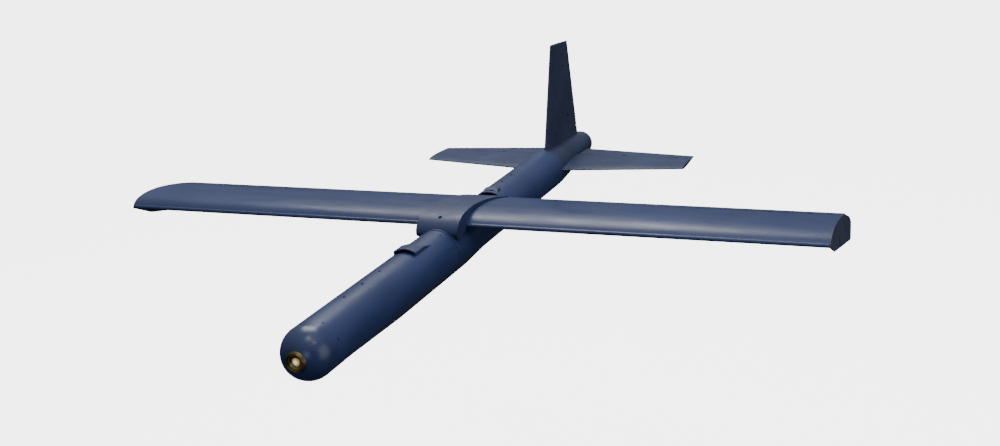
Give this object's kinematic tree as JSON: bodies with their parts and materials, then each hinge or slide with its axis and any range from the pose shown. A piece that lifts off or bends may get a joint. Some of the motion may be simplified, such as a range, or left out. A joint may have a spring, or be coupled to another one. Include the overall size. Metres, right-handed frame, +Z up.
{
  "type": "fixed wing drone",
  "caption": "Small fixed-wing drone: round tube fuselage with domed sensor nose, straight strap-on wing with drooped tip plates, cross tail and a rear propeller shaft.",
  "frame": {"origin": "on the ground under the middle of the drone's length, in its plane of symmetry", "axes": "+Z up, +X to the drone's left wing tip, +Y aft along the fuselage; the nose points along -Y"},
  "size_m": [1.744, 1.7676, 0.3922],
  "materials": {
    "navy_paint": "satin",
    "navy_moulding": "satin",
    "skid_plastic": "matte",
    "bezel_brass": "turned",
    "black_anodised": "satin",
    "lens_glass": "polished",
    "dark_cap": "matte",
    "grey_ring": "satin",
    "steel": "brushed",
    "dark_screw": "black oxide",
    "bronze": "sintered",
    "plywood": "bare",
    "carbon": "woven",
    "battery_wrap": "shrink wrap",
    "strap_fabric": "webbing",
    "case_black": "moulded",
    "servo_case": "moulded",
    "nylon": "moulded",
    "motor_winding": "enamelled copper",
    "motor_metal": "anodised"
  },
  "bodies": {
    "airframe": {"nose_dome": "navy_paint", "nose_bezel": "bezel_brass", "lens_ring": "black_anodised", "lens": "lens_glass", "camera_body": "case_black", "front_tube": "navy_paint", "joint_ring": "navy_moulding", "rear_tube": "navy_paint", "tail_cone": "navy_paint", "tail_ring": "grey_ring", "belly_skid": "skid_plastic", "cooling_scoop": "navy_moulding", "cooling_outlet": "navy_moulding", "fuselage_frames": "plywood", "top_screws": "dark_screw", "equipment_tray": "plywood", "battery": "battery_wrap", "battery_straps": "strap_fabric", "flight_controller": "case_black", "gps_receiver": "nylon", "radio_receiver": "case_black", "speed_controller": "battery_wrap", "wing_left": "navy_paint", "wing_right": "navy_paint", "wing_ribs": "plywood", "spar_tubes": "carbon", "tip_plate_left": "navy_paint", "tip_plate_right": "navy_paint", "wing_saddle": "navy_paint", "tailplane_left": "navy_paint", "tailplane_right": "navy_paint", "fin": "navy_paint", "hinge_brackets": "steel", "rod_bushes": "bronze", "servos": "servo_case", "servo_hatches": "navy_moulding", "tail_tray": "plywood", "motor_stator": "motor_winding", "motor_bearings": "steel"},
    "aileron_left": {"aileron_left": "navy_paint", "aileron_rod_left": "steel"},
    "aileron_left_arm": {"aileron_arm_left": "nylon"},
    "aileron_left_pushrod": {"aileron_pushrod_left": "steel"},
    "aileron_right": {"aileron_right": "navy_paint", "aileron_rod_right": "steel"},
    "aileron_right_arm": {"aileron_arm_right": "nylon"},
    "aileron_right_pushrod": {"aileron_pushrod_right": "steel"},
    "elevator": {"elevator_left": "navy_paint", "elevator_right": "navy_paint", "elevator_rod": "steel"},
    "elevator_arm": {"elevator_arm": "nylon"},
    "elevator_pushrod": {"elevator_pushrod": "steel"},
    "rudder": {"rudder": "navy_paint", "rudder_rod": "steel"},
    "rudder_arm": {"rudder_arm": "nylon"},
    "rudder_pushrod": {"rudder_pushrod": "steel"},
    "rotor": {"motor_bell": "motor_metal", "propeller_shaft": "steel", "propeller_driver": "dark_cap"}
  },
  "joints": [
    {"name": "aileron_left_hinge", "type": "hinge", "parent": "airframe", "child": "aileron_left", "pos_m": [0.62, 0.03639, 0.10986], "axis": [1, 0, 0], "range_deg": [-25, 25]},
    {"name": "aileron_left_servo_arm", "type": "hinge", "parent": "airframe", "child": "aileron_left_arm", "pos_m": [0.62, -0.06761, 0.10986], "axis": [1, 0, 0], "range_deg": [-25, 25]},
    {"name": "aileron_left_pushrod_eye", "type": "hinge", "parent": "aileron_left_arm", "child": "aileron_left_pushrod", "pos_m": [0.62, -0.06761, 0.08986], "axis": [1, 0, 0], "range_deg": [-25, 25]},
    {"name": "aileron_right_hinge", "type": "hinge", "parent": "airframe", "child": "aileron_right", "pos_m": [-0.62, 0.03639, 0.10986], "axis": [1, 0, 0], "range_deg": [-25, 25]},
    {"name": "aileron_right_servo_arm", "type": "hinge", "parent": "airframe", "child": "aileron_right_arm", "pos_m": [-0.62, -0.06761, 0.10986], "axis": [1, 0, 0], "range_deg": [-25, 25]},
    {"name": "aileron_right_pushrod_eye", "type": "hinge", "parent": "aileron_right_arm", "child": "aileron_right_pushrod", "pos_m": [-0.62, -0.06761, 0.08986], "axis": [1, 0, 0], "range_deg": [-25, 25]},
    {"name": "elevator_hinge", "type": "hinge", "parent": "airframe", "child": "elevator", "pos_m": [0, 0.67825, 0.0636], "axis": [1, 0, 0], "range_deg": [-25, 25]},
    {"name": "elevator_servo_arm", "type": "hinge", "parent": "airframe", "child": "elevator_arm", "pos_m": [0.02, 0.52825, 0.0636], "axis": [1, 0, 0], "range_deg": [-25, 25]},
    {"name": "elevator_pushrod_eye", "type": "hinge", "parent": "elevator_arm", "child": "elevator_pushrod", "pos_m": [0.02, 0.52825, 0.0796], "axis": [1, 0, 0], "range_deg": [-25, 25]},
    {"name": "rudder_hinge", "type": "hinge", "parent": "airframe", "child": "rudder", "pos_m": [0, 0.74339, 0.0787], "axis": [0, -0.1762, 0.9844], "range_deg": [-25, 25]},
    {"name": "rudder_servo_arm", "type": "hinge", "parent": "airframe", "child": "rudder_arm", "pos_m": [0, 0.59574, 0.05227], "axis": [0, -0.1762, 0.9844], "range_deg": [-25, 25]},
    {"name": "rudder_pushrod_eye", "type": "hinge", "parent": "rudder_arm", "child": "rudder_pushrod", "pos_m": [-0.016, 0.59574, 0.05227], "axis": [0, -0.1762, 0.9844], "range_deg": [-25, 25]},
    {"name": "motor_spin", "type": "hinge", "parent": "airframe", "child": "rotor", "pos_m": [0, 0.77325, 0.0592], "axis": [0, 1, 0], "continuous": true}
  ],
  "couplings": [
    {"joint": "aileron_left_servo_arm", "follows": "aileron_left_hinge", "ratio": 1},
    {"joint": "aileron_left_pushrod_eye", "follows": "aileron_left_hinge", "ratio": -1},
    {"joint": "aileron_right_servo_arm", "follows": "aileron_right_hinge", "ratio": 1},
    {"joint": "aileron_right_pushrod_eye", "follows": "aileron_right_hinge", "ratio": -1},
    {"joint": "elevator_servo_arm", "follows": "elevator_hinge", "ratio": 1},
    {"joint": "elevator_pushrod_eye", "follows": "elevator_hinge", "ratio": -1},
    {"joint": "rudder_servo_arm", "follows": "rudder_hinge", "ratio": 1},
    {"joint": "rudder_pushrod_eye", "follows": "rudder_hinge", "ratio": -1}
  ]
}
